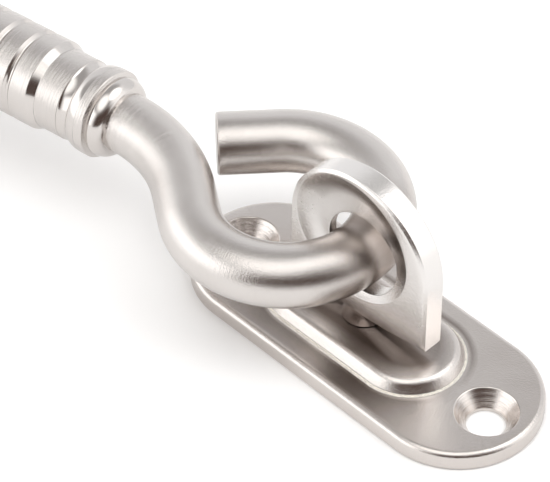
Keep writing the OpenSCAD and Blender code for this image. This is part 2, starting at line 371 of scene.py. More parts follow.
@dataclass
class HookBar:
    """The turned and bent bar, from the closed loop to the open hook."""

    wire_d: float = 8.0
    loop_r: float = 12.0
    swan_r: float = 20.0
    swan_angle: float = 43.0
    loop_angle: float = 264.0
    loop_gap: float = 1.2
    tip_break: float = 0.25
    hook_tip: float = 9.0
    land_rise: float = 2.1
    land_count: int = 14
    groove_w: float = 1.0
    groove_depth: float = 0.5
    groove_wall: float = 0.35
    bevel_len: float = 1.1
    neck_rise: float = 1.5
    neck_len: float = 3.6
    cove_len: float = 1.4
    cove_depth: float = 0.35
    bead_rise: float = 1.95
    bead_flank: float = 1.8
    bead_crest: float = 1.3
    ring_groove_w: float = 0.5
    ring_groove_depth: float = 0.3
    ring_rise: float = 1.4
    ring_len: float = 1.9
    edge_soft: float = 0.12
    land_lip: float = 0.3
    tip_steps: int = 4
    cap_shares: Point = (0.6, 0.2)
    dome_steps: int = 14
    bar_shift: float = 1.0
    # Painted shade on the loop: its reach along the wire from the pivot eye, and where and how strongly it
    # darkens the underside by the cut end.
    shade_len: float = 9.0
    under_start: float = 0.4
    under_shade: float = 0.6
    sides: int = 96
    ring_step: float = 1.0

    def __post_init__(self) -> None:
        """Work out the bar's place and lengths from the frame and the driving sizes."""
        lift = joint_row("bar_lift")
        self.crossing = Vector(lift["pos_m"])
        self.swing = math.atan2(-lift["axis"][0], lift["axis"][1])
        reach = (node_middle("pivot_plate") - node_middle("catch_plate")).length / MM
        pull = self.crossing.xy.length / MM
        turn = math.radians(self.swan_angle)
        self.wire_r = self.wire_d / 2
        fall = self.swan_r * (1 - math.cos(turn))
        self.swan_straight = (self.loop_r * math.cos(turn) - fall) / math.sin(turn)
        self.loop_offset = (self.swan_r + self.loop_r) * math.sin(turn) + self.swan_straight * math.cos(turn)
        self.collar_x = self.loop_offset + self.loop_r
        self.grip_l = reach - pull - 2 * self.collar_x

    def loop_tip(self) -> float:
        """Measure the closed loop's straight end, up to the gap beside the swan neck.

        Returns:
            Its length in millimetres.
        """
        turn = math.radians(self.loop_angle - self.swan_angle)
        way = Vector((math.cos(turn), math.sin(turn)))
        corner = Vector((self.loop_offset, self.swan_r))
        corner += (self.loop_r - self.wire_r) * Vector((math.sin(turn), -math.cos(turn)))
        along = corner.dot(way)
        reach = self.swan_r + self.wire_r + self.loop_gap
        return -along - math.sqrt(along ** 2 - corner.dot(corner) + reach ** 2)

    def collar_corners(self) -> list[Triple]:
        """List the corners of one collar.

        Returns:
            Distance from the wire, radius and polish, up to the first land.
        """
        wire = self.wire_r
        ring_r = wire + self.ring_rise
        bead_r = wire + self.bead_rise
        neck_r = wire + self.neck_rise
        cove_r = neck_r - self.cove_depth
        crest_0 = self.ring_len + self.ring_groove_w
        crest_1 = crest_0 + self.bead_crest
        flank = crest_1 + self.bead_flank
        cove = flank + self.cove_len
        neck = cove + self.neck_len
        glossy, satin = 1.0, 0.0
        corners = [(x, r, glossy) for x, r in quarter((0, wire), (self.ring_len, ring_r), True)]
        corners.append((self.ring_len + self.ring_groove_w / 2, ring_r - self.ring_groove_depth, glossy))
        corners += [(crest_0, bead_r, satin), (crest_1, bead_r, satin)]
        corners += [(x, r, glossy) for x, r in quarter((crest_1, bead_r), (flank, cove_r), False)[1:]]
        corners += [(x, r, glossy) for x, r in quarter((flank, cove_r), (cove, neck_r), False)[1:]]
        corners += [(neck, neck_r, satin), (neck + self.bevel_len, wire + self.land_rise, glossy)]
        return corners

    def grip_profile(self) -> list[Triple]:
        """Draw the grip from one end to the other.

        Returns:
            Distance, radius and polish of each ring, in metres and from 0 to 1.
        """
        collar = self.collar_corners()
        head = collar[-1][0]
        land_r = self.wire_r + self.land_rise
        land_w = (self.grip_l - 2 * head - (self.land_count - 1) * self.groove_w) / self.land_count
        corners = list(collar)
        for i in range(self.land_count - 1):
            edge = head + (i + 1) * land_w + i * self.groove_w
            for share, depth in ((0, 0), (self.groove_wall, 1), (1 - self.groove_wall, 1), (1, 0)):
                corners.append((edge + share * self.groove_w, land_r - depth * self.groove_depth, 0.0))
        corners += [(self.grip_l - x, r, p) for x, r, p in reversed(collar)]
        rings = softened([(x, r) for x, r, _ in corners], self.edge_soft)
        return [(x * MM, r * MM, self._polish(x, r, collar)) for x, r in rings]

    def _polish(self, x: float, r: float, collar: list) -> float:
        """Choose the grip's gloss: grooves, bevels and rounds are polished, lands are satin.

        Args:
            x: Distance of the ring from the grip's end.
            r: The ring's radius.
            collar: Corners of the collar.

        Returns:
            The ring's polish, from 0 to 1.
        """
        near = min(x, self.grip_l - x)
        land_r = self.wire_r + self.land_rise
        if near >= collar[-1][0]:
            return 1.0 if r < land_r - self.land_lip * self.edge_soft else 0.0
        return next((polish for end, _, polish in collar if near <= end), 1.0)

    def swan_neck(self, rod: RoundRod, turn: float) -> None:
        """Bend the wire aside and round.

        Args:
            rod: Wire that starts at the collar.
            turn: Turn of the loop or hook in degrees.
        """
        rod.bend(self.swan_r * MM, -self.swan_angle)
        rod.straight(self.swan_straight * MM, self.ring_step * MM)
        rod.bend(self.loop_r * MM, turn)

    def paint_loop_shade(self, rod: RoundRod) -> None:
        """Paint shade on the loop where it runs through the pivot eye, and on its underside by the cut end,
        fading to both sides.

        Args:
            rod: The whole loop.
        """
        swan = self.swan_r * math.radians(self.swan_angle) + self.swan_straight
        middle = swan + self.loop_r * math.radians(self.swan_angle + 90)
        end = swan + self.loop_r * math.radians(self.loop_angle)
        for vert in rod.shell.mesh.verts:
            length = vert[rod.shell.layers[Layer.ALONG]] / MM
            # Painted shade, darkest where the loop runs through the pivot eye and on the underside by the cut
            # end.
            worn = max(0.0, 1.0 - abs(length - middle) / self.shade_len)
            near = clamped(1.0 + (length - end) / self.shade_len)
            under = clamped(self.under_start - vert.co.z / MM / self.wire_r)
            rod.shell.mark([vert], Layer.SHADE, max(worn, self.under_shade * near * under))

    def build(self) -> bpy.types.Object:
        """Model the whole bar as one closed mesh.

        Returns:
            The bar's object.
        """
        wire_r = self.wire_r * MM
        ahead = Matrix.Translation((-self.collar_x * MM, self.bar_shift * MM, 0))
        flip = Matrix.Rotation(math.pi, 4, "Y")
        behind = ahead @ Matrix.Translation((-self.grip_l * MM, 0, 0)) @ flip
        shell = Shell()
        shell.lathe(self.grip_profile(), ahead @ flip, self.sides)
        loop = RoundRod.start(Shell(), self.sides, wire_r, ahead)
        self.swan_neck(loop, self.loop_angle)
        loop.straight((self.loop_tip() - self.tip_break) * MM, self.ring_step * MM)
        worn = (self.tip_break, self.wire_r - self.tip_break)
        for _, r in quarter((0, self.wire_r), worn, False, self.tip_steps)[1:]:
            loop.advance(self.tip_break / self.tip_steps * MM, r * MM)
        for share in self.cap_shares:
            loop.advance(0.0, share * wire_r)
        loop.close()
        self.paint_loop_shade(loop)
        hook = RoundRod.start(Shell(), self.sides, wire_r, behind)
        self.swan_neck(hook, self.swan_angle + 90)
        hook.straight(self.hook_tip * MM, self.ring_step * MM)
        for i in range(1, self.dome_steps):
            a0, a1 = (math.pi / 2 * k / self.dome_steps for k in (i - 1, i))
            hook.advance(wire_r * (math.sin(a1) - math.sin(a0)), wire_r * math.cos(a1))
        hook.close()
        shell.take(loop.shell)
        shell.take(hook.shell)
        place = Matrix.Translation(self.crossing) @ Matrix.Rotation(self.swing, 4, "Z")
        return shell.finish("hook_bar_nickel", place)


@dataclass
class SwivelEye:
    """One upright eye with its collar, shank and peened head."""

    node: str
    turn_deg: float
    thickness: float = 3.4
    hole_d: float = 11.2
    rim_w: float = 5.6
    belly_z: float = 5.0
    belly_r: float = 45.0
    hole_z: float = 14.9
    arch_z: float = 15.9
    scoop_w: float = 3.4
    scoop_rise: float = 2.4
    scoop_shift: float = -1.0
    scoop_web: float = 1.1
    scoop_curve: float = 5.0
    bevel: float = 0.35
    belly_bevel: float = 0.8
    soft: float = 0.12
    shank_d: float = 5.0
    collar_d: float = 5.8
    boss_top: float = 4.5
    play: float = 0.1
    rivet_d: float = 9.4
    rivet_h: float = 1.3
    rivet_inset: float = 0.6
    # Painted shade on the faces: how strongly they darken towards the bottom, and the height over which it
    # fades in.
    shade_strength: float = 0.34
    shade_drop: float = 5.0
    # Painted shade on the hollow's wall: the direction where it is darkest, and its strength.
    shade_side: float = 70.0
    hollow_shade: float = 0.95
    pole_r: float = 0.2
    stem_polish: float = 0.5
    sides: int = 180
    stem_sides: int = 64
    scoop_steps: int = 12
    flat_steps: int = 3
    dome_steps: int = 12

    def __post_init__(self) -> None:
        """Work out half the eye's width, and the radius, depth and wall of the hollow."""
        self.half = self.hole_d / 2 + self.rim_w
        self.scoop_r = self.hole_d / 2 + self.scoop_w
        self.scoop_deep = (self.thickness - self.scoop_web) / 2
        self.scoop_wall = math.sqrt(self.scoop_deep * (2 * self.scoop_curve - self.scoop_deep))

    def outline_reach(self, angle: float, inset: float, belly_inset: float) -> float:
        """Measure from the hole's centre to the eye's outline.

        Args:
            angle: Direction, from +X towards +Z.
            inset: Distance that the sides and arch are moved inwards.
            belly_inset: Distance that the belly is moved inwards.

        Returns:
            The distance in millimetres.
        """
        dx, dz = math.cos(angle), math.sin(angle)
        half = self.half - inset
        rise = self.arch_z - self.hole_z
        side = half / abs(dx) if abs(dx) > NEAR else math.inf
        if side * dz > rise:
            side = rise * dz + math.sqrt((rise * dz) ** 2 + half ** 2 - rise ** 2)
        lift = self.belly_z + self.belly_r - self.hole_z
        belly = lift * dz + math.sqrt((lift * dz) ** 2 + (self.belly_r - belly_inset) ** 2 - lift ** 2)
        return min(side, belly)

    def angles(self) -> list[float]:
        """List the directions of the rings' points, with one at each lower corner.

        Returns:
            The angles, from +X towards +Z.
        """
        corner_z = self.belly_z + self.belly_r - math.sqrt(self.belly_r ** 2 - self.half ** 2)
        corner = math.atan2(corner_z - self.hole_z, self.half)
        step = 2 * math.pi / self.sides
        values = [i * step for i in range(self.sides)]
        for target in (corner % (2 * math.pi), (math.pi - corner) % (2 * math.pi)):
            values[round(target / step)] = target
        return values

    def scoop_depth(self, x: float, z: float) -> float:
        """Measure the hollow.

        Args:
            x: Place across the eye.
            z: Height above the hole's centre.

        Returns:
            The hollow's depth below the face.
        """
        floor = self.scoop_r - self.scoop_wall
        off = math.hypot(x - self.scoop_shift, z - self.scoop_rise) - floor
        if off <= 0.0:
            return self.scoop_deep
        curve = math.sqrt(max(0.0, self.scoop_curve ** 2 - off ** 2))
        return max(0.0, curve - self.scoop_curve + self.scoop_deep)

    def hollow_shade_share(self, x: float, z: float) -> float:
        """Paint shade on the hollow's wall above and beside the hole.

        Args:
            x: Place across the eye.
            z: Height above the hole's centre.

        Returns:
            The share of painted shade.
        """
        across, up = x - self.scoop_shift, z - self.scoop_rise
        inward = self.scoop_r - math.hypot(across, up)
        if not 0.0 < inward < self.scoop_wall:
            return 0.0
        side = math.cos(math.atan2(up, across) - math.radians(self.shade_side))
        return self.hollow_shade * math.sqrt(math.sin(math.pi * inward / self.scoop_wall) * max(0.0, side))

    def scoop_reach(self, angle: float) -> float:
        """Measure from the hole's centre to the hollow's edge in one direction."""
        ahead = self.scoop_shift * math.cos(angle) + self.scoop_rise * math.sin(angle)
        return ahead + math.sqrt(ahead ** 2 + self.scoop_r ** 2 - self.scoop_rise ** 2 - self.scoop_shift ** 2)

    def build(self) -> bpy.types.Object:
        """Model the eye as one closed mesh.

        Returns:
            The eye's object.
        """
        shell = Shell()
        angles = self.angles()
        hole_r = self.hole_d / 2
        face = -self.thickness / 2
        ring = shell.circle(self.sides, hole_r * MM, Matrix.Identity(4))
        full = 2 * math.pi - NEAR
        order = sorted(shell.points(ring), key=lambda vert: math.atan2(vert.co.y, vert.co.x) % full)
        for i, vert in enumerate(order):
            vert[shell.order] = i

        def settle(verts: list, at: Reach) -> None:
            """Shape a ring and paint shade on its points.

            Args:
                verts: The ring's points.
                at: Distance and depth for each direction.
            """
            for vert in verts:
                angle = angles[vert[shell.order]]
                reach, y = at(angle)
                vert.co = Vector((reach * math.cos(angle), y, self.hole_z + reach * math.sin(angle))) * MM
                # Painted shade on the faces, darker towards the bottom.
                if abs(y) >= self.thickness / 2:
                    low = (self.hole_z - self.shade_drop - vert.co.z / MM) / self.shade_drop
                    shell.mark([vert], Layer.SHADE, self.shade_strength * clamped(low))
                elif abs(y) > 0.0:
                    # Painted shade on the hollow's wall.
                    hollow_shading = self.hollow_shade_share(reach * math.cos(angle), reach * math.sin(angle))
                    shell.mark([vert], Layer.SHADE, hollow_shading)

        def scooped(angle: float, share: float) -> Point:
            """Distance and depth of a point between the hole and the hollow's edge."""
            reach = hole_r + share * (self.scoop_reach(angle) - hole_r)
            return reach, face + self.scoop_depth(reach * math.cos(angle), reach * math.sin(angle))

        def level(angle: float, share: float) -> Point:
            """Distance and depth of a point between the hollow's edge and the bevel."""
            inner, outer = self.scoop_reach(angle), self.outline_reach(angle, self.bevel, self.belly_bevel)
            return inner + share * (outer - inner), face

        settle(order, lambda angle: (hole_r, 0.0))
        rings: list[Reach] = [
            partial(scooped, share=k / self.scoop_steps) for k in range(self.scoop_steps + 1)]
        rings += [partial(level, share=k / self.flat_steps) for k in range(1, self.flat_steps + 1)]
        rings += [self._edge, lambda angle: (self.outline_reach(angle, 0.0, 0.0), 0.0)]
        corners = (0, self.scoop_steps, self.scoop_steps + self.flat_steps, rings.index(self._edge))
        crisp = []
        for k, at in enumerate(rings):
            verts, ring = shell.extrude(ring)
            settle(verts, at)
            if k in corners:
                crisp += ring
        bmesh.ops.bevel(
            shell.mesh, geom=crisp, offset=self.soft * MM, offset_type="OFFSET", segments=3,
            profile=0.5, affect="EDGES", clamp_overlap=True, material=-1)
        front = [*shell.mesh.verts, *shell.mesh.edges, *shell.mesh.faces]
        copied = bmesh.ops.duplicate(shell.mesh, geom=front)
        back = [item for item in copied["geom"] if isinstance(item, bmesh.types.BMVert)]
        bmesh.ops.scale(shell.mesh, vec=(-1, -1, 1), verts=back)
        return shell.finish(self.node + "_nickel", self.place())

    def _edge(self, angle: float) -> Point:
        """Distance and depth of the bevel's outer corner. The bevel is wider under the belly."""
        reach, below = (self.outline_reach(angle, 0.0, inset) for inset in (0.0, -1.0))
        return reach, (self.belly_bevel if reach < below - NEAR else self.bevel) - self.thickness / 2

    def place(self) -> Matrix:
        """Where the eye stands in the frame."""
        turn = Matrix.Rotation(math.radians(self.turn_deg), 4, "Z")
        return Matrix.Translation(node_middle(self.node)) @ turn

    def build_stem(self) -> bpy.types.Object:
        """Model the collar, shank and peened head as one turned mesh.

        Returns:
            The stem's object.
        """
        shell = Shell()
        top = self.belly_z + self.belly_bevel / 2
        down = Matrix.Translation((0, 0, top * MM)) @ ON_SIDE
        collar_r, shank_r, head_r = self.collar_d / 2, self.shank_d / 2, self.rivet_d / 2
        seat, head = top - self.boss_top - self.play, top - (self.rivet_inset + self.rivet_h)
        corners = [(0, self.pole_r), (0, self.thickness / 2), (seat, collar_r), (seat, shank_r)]
        corners += [(head, shank_r), (head, head_r)]
        pole = (top - self.rivet_inset, self.pole_r)
        corners += quarter((head + self.rivet_h / 2, head_r), pole, False, self.dome_steps)
        rod = RoundRod.start(shell, self.stem_sides, self.pole_r * MM, down)
        rod.close()
        rod.follow([(x * MM, r * MM, self.stem_polish) for x, r in softened(corners, self.soft)[1:]])
        rod.close()
        # Painted shade: the whole stem takes the shaded colour, for the shade under the eye.
        shell.mark(list(shell.mesh.verts), Layer.SHADE, 1.0)
        return shell.finish(self.node + "_stem", self.place())


@dataclass
class ScrewPlate:
    """One oblong screw plate with its raised boss."""

    node: str
    length: float = 53.0
    width: float = 21.5
    thickness: float = 2.5
    edge_r: float = 0.8
    foot_break: float = 0.2
    screw_pitch: float = 41.4
    screw_d: float = 4.8
    countersink_d: float = 8.0
    countersink_depth: float = 2.1
    boss_l: float = 29.8
    boss_w: float = 14.4
    boss_h: float = 2.0
    crown_fall: float = 0.4
    shoulder_w: float = 1.2
    foot_fillet: float = 0.5
    bore_d: float = 5.16
    pocket_d: float = 10.8
    pocket_h: float = 2.0
    soft: float = 0.12
    crease_soft: float = 0.6
    # Painted shade beside the boss: width of the shaded band on the flat, how far it widens on the near side,
    # its share at the band's outer edge, and its strength by the boss's foot.
    side_shade_w: float = 1.3
    side_shade_widen: float = 1.1
    side_shade_out: float = 0.5
    shade_strength: float = 0.75
    # Painted shade on the boss: none beyond this reach from the middle line, full after this width further in,
    # and lighter by this share at the ends.
    inner_shade_reach: float = 5.7
    inner_shade_w: float = 2.1
    inner_shade_end: float = 0.45
    seam_share: float = 0.35
    fillet_deg: float = 70.0
    fillet_steps: int = 10
    crown_parts: int = 20
    crown_rings: tuple[int, ...] = (0, 5, 6, 7, 8)
    crease_steps: int = 8
    sides: int = 160
    hole_sides: int = 72

    def oblong(
        self, shell: Shell, ring: list, straight: float, profile: list[Point], seam_top: float = 0.0,
    ) -> list:
        """Sweep a profile around an oblong.

        Args:
            shell: Mesh to grow.
            ring: Edges of a ring around the origin to start from.
            straight: Length of the oblong's straight sides, in millimetres.
            profile: Distance from the middle line and height of each ring.
            seam_top: Height up to which the new rings belong to the seam at the boss's foot.

        Returns:
            The edges of the last ring.
        """
        along = shell.layers[Layer.ALONG]
        for k, (reach, height) in enumerate(profile):
            if k == 0:
                verts = shell.points(ring)
            else:
                verts, ring = shell.extrude(ring)
                shell.mark(verts, Layer.SEAM, float(self.thickness < height < seam_top))
            # Painted shade, darker towards the oblong's middle line under the eye and lighter at its ends.
            inner_shade = clamped((self.inner_shade_reach - reach) / self.inner_shade_w)
            for vert in verts:
                if vert[along] == 0.0:
                    vert[along] = math.atan2(vert.co.y, vert.co.x) + 2 * math.pi
                angle = vert[along]
                shift = math.copysign(straight / 2, math.cos(angle))
                vert.co = Vector((shift + reach * math.cos(angle), reach * math.sin(angle), height)) * MM
                shell.mark([vert], Layer.SHADE, inner_shade * (1.0 - self.inner_shade_end * abs(math.cos(angle))))
        return ring

    def start_ring(self, shell: Shell) -> list:
        """Add a ring with no point on the oblong's middle, for oblong to shape."""
        half_step = math.pi / self.sides
        return shell.circle(self.sides, MM, Matrix.Rotation(half_step, 4, "Z"))

    def screw_hole(self, shell: Shell, x: float) -> tuple[list, list]:
        """Model one countersunk hole.

        Args:
            shell: Mesh to grow.
            x: Place of the hole along the plate, in millimetres.

        Returns:
            The edges of the hole's upper and lower rims.
        """
        top, sink_r, hole_r = self.thickness, self.countersink_d / 2, self.screw_d / 2
        place = Matrix.Translation((x * MM, 0, top * MM)) @ ON_SIDE
        rim_r = sink_r + self.soft
        rod = RoundRod.start(shell, self.hole_sides, rim_r * MM, place)
        upper = rod.ring
        corners = [(0, rim_r), (0, sink_r), (self.countersink_depth, hole_r), (top, hole_r)]
        rod.follow([(x * MM, r * MM, 1.0) for x, r in softened(corners, self.soft)[1:]])
        return upper, rod.ring

    def build(self) -> bpy.types.Object:
        """Model the plate as one closed mesh.

        Returns:
            The plate's object.
        """
        shell = Shell()
        half, top, edge = self.width / 2, self.thickness, self.edge_r
        rim = [(half - self.foot_break, 0), (half, self.foot_break)]
        rim += quarter((half, top - edge), (half - edge, top), True)
        under = self.start_ring(shell)
        outer = self.oblong(shell, under, self.length - self.width, rim)
        foot = self.start_ring(shell)
        pocket = self.boss(shell, foot)
        holes = [self.screw_hole(shell, side * self.screw_pitch / 2) for side in (-1, 1)]
        faces = (outer + foot, under + pocket)
        for level, edges in enumerate(faces):
            rims = [item for hole in holes for item in hole[level]]
            bmesh.ops.triangle_fill(shell.mesh, use_beauty=True, use_dissolve=False, edges=edges + rims)
        return shell.finish(self.node + "_nickel", Matrix.Translation(node_middle(self.node)))

    def boss(self, shell: Shell, foot: list) -> list:
        """Raise the boss from its foot, and sink the bore and pocket through it.

        Args:
            shell: Mesh to grow.
            foot: Edges of the ring that becomes the boss's foot.

        Returns:
            The edges of the pocket's rim on the mounting face.
        """
        half, top = self.boss_w / 2, self.thickness
        shoulder, shoulder_z = half - self.shoulder_w, top + self.boss_h - self.crown_fall
        profile = [(half + self.side_shade_w, top), (half + self.foot_fillet, top)]
        for i in range(self.fillet_steps + 1):
            a = math.radians(270 - self.fillet_deg * i / self.fillet_steps)
            out, up = self.foot_fillet * math.cos(a), self.foot_fillet * (1 + math.sin(a))
            profile.append((half + out, top + up))
        crown = []
        for i in self.crown_rings:
            rise = self.crown_fall * math.sin(math.pi / 2 * i / self.crown_parts)
            crown.append((shoulder * (1 - i / self.crown_parts), shoulder_z + rise))
        profile = profile[:-1] + softened([profile[-1], *crown], self.crease_soft, self.crease_steps)
        straight = self.boss_l - self.boss_w
        crease = self.oblong(shell, foot, straight, profile[:2])
        seam_top = top + self.seam_share * self.foot_fillet
        ring = self.oblong(shell, crease, straight, profile[1:], seam_top)
        along = shell.layers[Layer.ALONG]
        # Painted shade on the flat along the boss's long sides, wider and reaching further out on the near
        # side.
        for vert in shell.points(crease):
            shell.mark([vert], Layer.SHADE, self.shade_strength * abs(math.sin(vert[along])))
        for vert in shell.points(foot):
            beside = max(0.0, -math.sin(vert[along]))
            vert.co.y -= self.side_shade_widen * beside ** 2 * MM
            shell.mark([vert], Layer.SHADE, self.side_shade_out * beside)
        bore, pocket, roof = self.bore_d / 2, self.pocket_d / 2, self.pocket_h
        return self.oblong(
            shell, shell.extrude(ring)[1], 0.0,
            [(bore, top + self.boss_h), (bore, roof), (pocket, roof), (pocket, 0)])


@dataclass
class Board:
    """Adds nodes to one node tree, with their settings, values and links."""

    tree: bpy.types.NodeTree

    def feed(self, socket: Socket, value: Source) -> None:
        """Link or set an input.

        Args:
            socket: The input.
            value: Another node's output to link it to, or its own value.
        """
        if isinstance(value, Socket):
            self.tree.links.new(value, socket)
        else:
            socket.default_value = value

    def add(self, kind: str, sockets: Wires, **settings: str | bpy.types.NodeTree) -> bpy.types.Node:
        """Add a node.

        Args:
            kind: Its type, without the prefix that all shader nodes share.
            sockets: Source or value of each input, by the input's name or number.
            settings: The node's own properties.

        Returns:
            The new node.
        """
        node = self.tree.nodes.new("ShaderNode" + kind)
        for name, setting in settings.items():
            setattr(node, name, setting)
        for key, value in sockets.items():
            self.feed(node.inputs[key], value)
        return node

    def maths(self, operation: str, *values: Source) -> Socket:
        """Add a sum, product or difference and return its result."""
        return self.add("Math", dict(enumerate(values)), operation=operation).outputs[0]

    def blend(self, factor: Source, low: Socket | Triple, high: Triple) -> Socket:
        """Mix two colours.

        Args:
            factor: Share of the second colour.
            low: First colour, or the output that it comes from.
            high: Second colour.

        Returns:
            The mixed colour.
        """
        start = low if isinstance(low, Socket) else (*low, 1.0)
        sockets = {"Factor": factor, "A": start, "B": (*high, 1.0)}
        return self.add("Mix", sockets, data_type="RGBA").outputs["Result"]

    def step(self, value: Source, edges: Point, ends: Point) -> Socket:
        """Step smoothly from one end value to the other between two edges of a value."""
        sockets = dict(enumerate((value, *edges, *ends)))
        return self.add("MapRange", sockets, interpolation_type="SMOOTHSTEP").outputs["Result"]

    def noise(self, sockets: Wires, **settings: str) -> Socket:
        """Add a noise and return its value."""
        return self.add("TexNoise", sockets, **settings).outputs["Fac"]

    def layer(self, layer: Layer) -> Socket:
        """Read a mesh layer's value."""
        return self.add("Attribute", {}, attribute_name=layer.value).outputs["Fac"]

    def bump(
        self, height: Socket, depth: float, under: Socket | None = None, mask: Socket | None = None,
    ) -> Socket:
        """Add one bump.

        Args:
            height: Height from 0 to 1.
            depth: Depth of the bump in millimetres.
            under: Normal that the bump is added to.
            mask: Share of the bump over the surface.

        Returns:
            The new normal.
        """
        if mask is not None:
            height = self.maths("MULTIPLY", height, mask)
        made = self.add("Bump", {"Strength": 1.0, "Distance": depth * MM, "Height": height})
        if under is not None:
            self.feed(made.inputs["Normal"], under)
        return made.outputs["Normal"]


@dataclass(frozen=True)
class NickelFinish:
    """One nickel finish: its colours, gloss and fine structure."""

    name: str
    slot: Slot
    light: Triple
    dark: Triple
    shaded: Triple
    rough: Point
    grain_scale: float
    grain_bump: float
    wave_scale: float = 60.0
    wave_bump: float = 0.0
    line_scale: float = 0.0
    line_bump: float = 0.0
    line_mask: LineMask = LineMask.SATIN
    seam_bump: float = 0.0
    seam: Triple = (1.0, 0.96, 0.88)
    polished_rough: float | None = None


@dataclass
class FinishShop:
    """Builds the shared shader groups and the nickel materials."""

    grain_share: float = 0.45
    drift_share: float = 0.55
    drift_scale: float = 90.0
    wobble_scale: float = 220.0
    wobble_reach: float = 0.0004

    def __post_init__(self) -> None:
        """Build the groups once."""
        self.grain = self._grain_group()
        self.lines = self._lines_group()

    @staticmethod
    def _new_group(
        name: str, inputs: tuple[str, ...], outputs: tuple[str, ...],
    ) -> tuple[Board, bpy.types.NodeOutputs, bpy.types.NodeInputs]:
        """Make a shader group with named sockets.

        Args:
            name: The group's name.
            inputs: Names of its inputs. Place is a vector, and the others are numbers.
            outputs: Names of its outputs, which are numbers.

        Returns:
            The group's board, what it is given and what it puts out.
        """
        tree = bpy.data.node_groups.new(name, "ShaderNodeTree")
        for label in inputs:
            kind = "NodeSocketVector" if label == "Place" else "NodeSocketFloat"
            tree.interface.new_socket(label, in_out="INPUT", socket_type=kind)
        for label in outputs:
            tree.interface.new_socket(label, in_out="OUTPUT", socket_type="NodeSocketFloat")
        given = tree.nodes.new("NodeGroupInput").outputs
        return Board(tree), given, tree.nodes.new("NodeGroupOutput").inputs

    def _grain_group(self) -> bpy.types.NodeTree:
        """Build the fine satin grain with a slow drift.

        Returns:
            A group with a mask for colour and gloss, and a height.
        """
        board, given, wanted = self._new_group("satin grain", ("Place", "Scale"), ("Mask", "Height"))
        place, scale = given["Place"], given["Scale"]
        fine = board.noise({"Vector": place, "Scale": scale, "Detail": 4.0, "Roughness": 0.65})
        slow = board.noise({"Vector": place, "Scale": self.drift_scale, "Detail": 2.0})
        drift = board.maths("MULTIPLY", slow, self.drift_share)
        board.feed(wanted["Mask"], board.maths("MULTIPLY_ADD", fine, self.grain_share, drift))
        board.feed(wanted["Height"], fine)
        return board.tree

    def _lines_group(self) -> bpy.types.NodeTree:
        """Build the fine turning lines around a rod.

        Returns:
            A group with a height that changes along the rod, broken up a little.
        """
        board, given, wanted = self._new_group("turning lines", ("Place", "Along", "Scale"), ("Height",))
        wobble = board.noise({"Vector": given["Place"], "Scale": self.wobble_scale})
        along = board.maths("MULTIPLY_ADD", wobble, self.wobble_reach, given["Along"])
        sockets = {"W": along, "Scale": given["Scale"], "Detail": 3.0, "Roughness": 0.7}
        board.feed(wanted["Height"], board.noise(sockets, noise_dimensions="1D"))
        return board.tree

    def material(self, finish: NickelFinish) -> bpy.types.Material:
        """Make the material of one finish.

        Args:
            finish: The finish's colours, gloss and structure.

        Returns:
            A material with one metal shader.
        """
        made = bpy.data.materials.new(finish.name)
        made.use_nodes = True
        board = Board(made.node_tree)
        place = board.add("TexCoord", {}).outputs["Object"]
        sockets = {"Place": place, "Scale": finish.grain_scale}
        grain = board.add("Group", sockets, node_tree=self.grain).outputs
        colour = board.blend(grain["Mask"], finish.dark, finish.light)
        # Painted shade: the shade layer mixes the colour towards the finish's shaded colour.
        colour = board.blend(board.layer(Layer.SHADE), colour, finish.shaded)
        sockets = dict(zip(("Value", "To Min", "To Max"), (grain["Mask"], *finish.rough)))
        rough = board.add("MapRange", sockets).outputs["Result"]
        satin = None
        if finish.polished_rough is not None:
            polish = board.layer(Layer.POLISH)
            sockets = {"Factor": polish, "A": rough, "B": finish.polished_rough}
            rough = board.add("Mix", sockets).outputs["Result"]
            satin = board.maths("SUBTRACT", 1.0, polish)
        normal = board.bump(grain["Height"], finish.grain_bump, mask=satin)
        if finish.line_bump > 0.0:
            sockets = {"Place": place, "Along": board.layer(Layer.ALONG), "Scale": finish.line_scale}
            lines = board.add("Group", sockets, node_tree=self.lines).outputs["Height"]
            if finish.line_mask is LineMask.SATIN:
                cut = board.maths("MULTIPLY", satin, board.layer(Layer.BRUSH))
            else:
                cut = board.layer(Layer.POLISH)
            normal = board.bump(lines, finish.line_bump, normal, cut)
        if finish.seam_bump > 0.0:
            seam = board.layer(Layer.SEAM)
            normal = board.bump(grain["Height"], finish.seam_bump, normal, seam)
            colour = board.blend(seam, colour, finish.seam)
        if finish.wave_bump > 0.0:
            wave = board.noise({"Vector": place, "Scale": finish.wave_scale, "Detail": 1.0})
            normal = board.bump(wave, finish.wave_bump, normal)
        shader = made.node_tree.nodes["Principled BSDF"].inputs
        sockets = {"Metallic": 1.0, "Base Color": colour, "Roughness": rough, "Normal": normal}
        for label, value in sockets.items():
            board.feed(shader[label], value)
        return made


BAR_FINISH = NickelFinish(
    name="satin nickel bar", slot=Slot.BAR, light=(0.84, 0.81, 0.79), dark=(0.58, 0.54, 0.51),
    shaded=(0.3, 0.25, 0.22), rough=(0.16, 0.28), grain_scale=4600.0, grain_bump=0.034,
    line_scale=4200.0, line_bump=0.036, polished_rough=0.15)
EYE_FINISH = NickelFinish(
    name="satin nickel eye", slot=Slot.EYE, light=(0.95, 0.93, 0.91), dark=(0.82, 0.79, 0.77),
    shaded=(0.2, 0.16, 0.14), rough=(0.2, 0.32), grain_scale=3000.0, grain_bump=0.02)
PLATE_FINISH = NickelFinish(
    name="tumbled nickel plate", slot=Slot.PLATE, light=(0.84, 0.80, 0.77), dark=(0.60, 0.55, 0.52),
    shaded=(0.2, 0.16, 0.14), rough=(0.14, 0.24), grain_scale=4400.0, grain_bump=0.03,
    wave_scale=180.0, wave_bump=0.06, line_scale=5200.0, line_bump=0.03, line_mask=LineMask.POLISHED,
    seam_bump=0.2, polished_rough=0.14)


